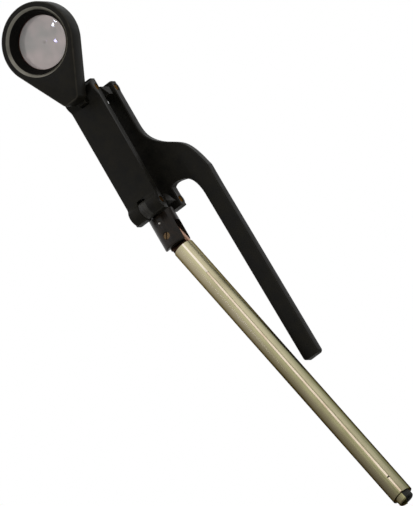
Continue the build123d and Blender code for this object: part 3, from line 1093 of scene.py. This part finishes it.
@dataclass
class LensCell:
    """Teardrop cell, the lens and its rings, and the fine grooves in the recess."""

    edge: float = 0.14
    lip_inner: float = 11.35
    lip_outer: float = 12.75
    lip_depth: float = 1.0
    face_skin: float = 0.02
    bevel_low: float = 0.3
    bevel_high: float = 0.95
    groove_count: int = 8
    groove_wire: float = 0.09
    groove_sides: int = 6
    groove_segments: int = 128
    recess_mouth: float = 11.45
    recess_throat: float = 9.95
    recess_top: float = 1.0
    recess_bottom: float = 4.0
    rim_start: float = 9.95
    front: float = field(init=False)

    def __post_init__(self) -> None:
        """Reads the depth of the cell's front face from its node."""
        self.front = min(HEAD.from_row(v.co).y for v in frame["nodes"]["lens_cell"].data.vertices)

    def build(self) -> None:
        """Makes and publishes the cell, the lens and the rings."""
        body = Body.LENS_HEAD
        cell = [ENAMEL, RUBBED_ENAMEL, BARE_LIP, RECESS_BLACK]
        dressed_copy("lens_cell", "teardrop_cell", body, "black_enamel", cell, self.edge, self.cell_zone)
        glass = [LENS_GLASS, GROUND_EDGE]
        dressed_copy("fundus_lens", "front_lens", body, "lens_glass", glass, 0, self.lens_zone)
        dressed_copy("lens_seat_ring", "lens_seat", body, "black_nylon", [SEAT_COPPER], 0)
        ring = [RUBBED_ENAMEL]
        dressed_copy("lens_retaining_ring", "lens_lock_ring", body, "black_barrel", ring, self.edge / 2)
        publish(self.recess_grooves(), body, "black_enamel")

    def distance(self, centre: Vector) -> float:
        """Distance of a point of the head frame from the lens axis."""
        return hypot(centre.x - LENS_CENTRE.x, centre.z - LENS_CENTRE.z)

    def cell_zone(self, centre: Vector, normal: Vector) -> int:
        """Bare metal on the lip, black lacquer in the bore, rubbed enamel on the outer bevels."""
        radius = self.distance(centre)
        depth = centre.y - self.front
        if self.lip_inner < radius < self.lip_outer and self.face_skin < depth < self.lip_depth:
            return 2
        if radius < self.lip_outer and depth > self.face_skin:
            return 3
        return int(self.bevel_low < abs(normal.y) < self.bevel_high)

    def lens_zone(self, centre: Vector, _normal: Vector) -> int:
        """The flat rim and the edge are ground and blackened."""
        return int(self.distance(centre) > self.rim_start)

    def recess_grooves(self) -> bpy.types.Object:
        """Makes the fine turned ridges on the recess's cone, which keep stray light down.

        Returns:
            The piece: one ring for each ridge, each smaller and deeper than the last.
        """
        sizes = {
            "Mouth": self.recess_mouth,
            "Throat": self.recess_throat,
            "Depth": self.recess_bottom - self.recess_top,
            "Wire": self.groove_wire,
        }
        shape = GeometryTree("recess_grooves", sizes)
        gaps = self.groove_count - 1.0
        step = shape.node("ShaderNodeMath", {0: shape.inputs["Depth"], 1: gaps}, operation="DIVIDE")
        offset = shape.node("ShaderNodeCombineXYZ", {"Z": step.outputs[0]})
        places = shape.node("GeometryNodeMeshLine", {"Count": self.groove_count, "Offset": offset.outputs[0]})
        circle = shape.node(
            "GeometryNodeCurvePrimitiveCircle",
            {"Resolution": self.groove_segments, "Radius": 1.0},
            mode="RADIUS",
        )
        index = shape.node("GeometryNodeInputIndex")
        share = shape.node("ShaderNodeMath", {0: index.outputs[0], 1: gaps}, operation="DIVIDE")
        radius = shape.node(
            "ShaderNodeMapRange",
            {"Value": share.outputs[0], "To Min": shape.inputs["Mouth"], "To Max": shape.inputs["Throat"]},
        )
        scale = shape.node(
            "ShaderNodeCombineXYZ", {"X": radius.outputs["Result"], "Y": radius.outputs["Result"], "Z": 1.0}
        )
        rings = shape.node(
            "GeometryNodeInstanceOnPoints",
            {
                "Points": places.outputs["Mesh"],
                "Instance": circle.outputs["Curve"],
                "Scale": scale.outputs[0],
            },
        )
        real = shape.node("GeometryNodeRealizeInstances", {"Geometry": rings.outputs["Instances"]})
        wire = shape.node(
            "GeometryNodeCurvePrimitiveCircle",
            {"Resolution": self.groove_sides, "Radius": shape.inputs["Wire"]},
            mode="RADIUS",
        )
        swept = shape.node(
            "GeometryNodeCurveToMesh",
            {"Curve": real.outputs["Geometry"], "Profile Curve": wire.outputs["Curve"]},
        )
        start = Vector((LENS_CENTRE.x, self.front + self.recess_top, LENS_CENTRE.z))
        turn = Matrix.Rotation(radians(-90), 4, "X")
        return shape.make(swept.outputs["Mesh"], RECESS_BLACK, HEAD.matrix @ Matrix.Translation(start) @ turn)


# Studio


@dataclass
class Softbox:
    """One area lamp, aimed at the object."""

    name: str
    direction: tuple[float, float, float]
    distance: float
    width: float
    power: float
    colour: str = "#ffffff"
    mirrored: bool = False

    def build(self, target: Vector) -> None:
        """Adds the lamp at its distance in metres along its direction from the target."""
        data = bpy.data.lights.new(self.name, "AREA")
        data.shape = "DISK"
        data.size = self.width
        data.energy = self.power
        data.color = linear(self.colour)[:3]
        lamp = bpy.data.objects.new(self.name, data)
        bpy.context.scene.collection.objects.link(lamp)
        back = Vector(self.direction).normalized()
        lamp.visible_camera = False
        lamp.visible_transmission = False
        lamp.visible_glossy = self.mirrored
        lamp.location = target + back * self.distance
        lamp.rotation_mode = "QUATERNION"
        lamp.rotation_quaternion = back.to_track_quat("Z", "Y")


@dataclass
class Studio:
    """Pale floor, white surroundings, soft lamps, and a camera at the photograph's viewing angle.

    The camera's right and up directions are in the head frame, and the pin's pixel is the lower front pin's.
    """

    camera_right: tuple[float, float, float] = (0.7295, 0.485, -0.482)
    camera_up: tuple[float, float, float] = (0.5505, 0.0, 0.835)
    image_size: tuple[int, int] = (413, 506)
    pin_pixel: tuple[float, float] = (152.7, 209.3)
    mm_per_pixel: float = 0.3533
    lens: float = 1000.0
    sensor: float = 36.0
    floor_radius: float = 3.0
    floor_gap: float = 0.0004
    floor_sides: int = 96
    floor_glow: float = 0.35
    ambient: float = 0.45

    def build(self) -> None:
        """Makes the camera, the world, the floor and the lamps."""
        bpy.context.scene.view_settings.view_transform = "Standard"
        target = self.aim()
        self.world()
        self.floor()
        for lamp in self.lamps():
            lamp.build(target)

    def aim(self) -> Vector:
        """Makes the camera and returns the point that it looks at."""
        right, up = HEAD.turn_out(*self.camera_right), HEAD.turn_out(*self.camera_up)
        back = right.cross(up)
        width, height = self.image_size
        shift = (width / 2 - self.pin_pixel[0], self.pin_pixel[1] - height / 2)
        scale = self.mm_per_pixel * MM
        target = HEAD.to_row(0, 0, 0) + right * shift[0] * scale + up * shift[1] * scale
        data = bpy.data.cameras.new("photograph_view")
        data.sensor_width = self.sensor
        data.lens = self.lens
        distance = self.lens * height * scale / self.sensor
        camera = bpy.data.objects.new("photograph_view", data)
        bpy.context.scene.collection.objects.link(camera)
        turn = Matrix((right, up, back)).transposed().to_4x4()
        camera.matrix_world = Matrix.Translation(target + back * distance) @ turn
        data.clip_start, data.clip_end = distance * 0.5, distance * 3
        bpy.context.scene.camera = camera
        return target

    def world(self) -> None:
        """White surroundings for the camera, metal and glass, and a plain soft level for the rest."""
        world = bpy.data.worlds.new("white_studio")
        bpy.context.scene.world = world
        world.use_nodes = True
        tree = world.node_tree
        tree.nodes.clear()
        path = add(tree, "ShaderNodeLightPath")
        seen = path.outputs["Is Camera Ray"]
        for kind in ("Is Transmission Ray", "Is Glossy Ray"):
            larger = add(tree, "ShaderNodeMath", {0: seen, 1: path.outputs[kind]}, operation="MAXIMUM")
            seen = larger.outputs[0]
        level = add(tree, "ShaderNodeMapRange", {"Value": seen, "To Min": self.ambient, "To Max": 1.0})
        sky = add(
            tree, "ShaderNodeBackground", {"Color": linear("#ffffff"), "Strength": level.outputs["Result"]}
        )
        add(tree, "ShaderNodeOutputWorld", {"Surface": sky.outputs["Background"]})

    def floor(self) -> None:
        """Round pale floor under the tube's end, which is clear when it is seen from below."""
        shape = bmesh.new()
        bmesh.ops.create_circle(shape, cap_ends=True, segments=self.floor_sides, radius=self.floor_radius)
        low = CAD_BOUNDS[0].z - self.floor_gap
        bmesh.ops.translate(shape, verts=shape.verts, vec=(0, 0, low))
        mesh = bpy.data.meshes.new("studio_floor")
        shape.to_mesh(mesh)
        shape.free()
        floor = new_object("studio_floor", mesh)
        material = bpy.data.materials.new("pale_floor")
        material.use_nodes = True
        tree = material.node_tree
        tree.nodes.clear()
        path = add(tree, "ShaderNodeLightPath")
        paper = add(tree, "ShaderNodeBsdfDiffuse", {"Color": linear("#e9e9e7")})
        camera = path.outputs["Is Camera Ray"]
        glow = add(tree, "ShaderNodeMath", {0: camera, 1: self.floor_glow}, operation="MULTIPLY")
        lift = add(tree, "ShaderNodeEmission", {"Color": linear("#ffffff"), "Strength": glow.outputs[0]})
        top = add(tree, "ShaderNodeAddShader", {0: paper.outputs[0], 1: lift.outputs[0]})
        clear = add(tree, "ShaderNodeBsdfTransparent")
        side = add(tree, "ShaderNodeNewGeometry")
        seen = {0: side.outputs["Backfacing"], 1: top.outputs[0], 2: clear.outputs[0]}
        both = add(tree, "ShaderNodeMixShader", seen)
        add(tree, "ShaderNodeOutputMaterial", {"Surface": both.outputs[0]})
        mesh.materials.append(material)

    def lamps(self) -> list[Softbox]:
        """The soft lamps, and the two small lamps whose reflections show in the lens."""
        upper, lower = HEAD.turn_out(-0.498, -0.765, 0.409), HEAD.turn_out(-0.57, -0.773, 0.277)
        return [
            Softbox("key_softbox", tuple(HEAD.turn_out(-0.35, -0.85, 0.5)), 1.3, 1.0, 4.5),
            Softbox("right_softbox", tuple(HEAD.turn_out(0.95, -0.35, 0.1)), 1.4, 0.9, 3.0),
            Softbox("low_softbox", tuple(HEAD.turn_out(0.3, -0.8, -0.5)), 1.5, 1.0, 3.0),
            Softbox("rear_softbox", (-0.3, 0.9, 0.7), 1.5, 0.9, 4.0),
            Softbox("upper_lamp", tuple(upper), 1.2, 0.04, 0.12, "#b8b4ff", mirrored=True),
            Softbox("lower_lamp", tuple(lower), 1.2, 0.04, 0.12, "#dfe6ff", mirrored=True),
        ]


def main() -> None:
    """Builds the studio and every sub-assembly in order."""
    logging.basicConfig(level=logging.INFO, format="%(name)s: %(message)s")
    Studio().build()
    for part in (GuideTube(), TelescopicRod(), Fork(), ParallelArms(), LensCarrier(), LensCell()):
        log.info("building %s", type(part).__name__)
        part.build()


if __name__ == "__main__":
    main()
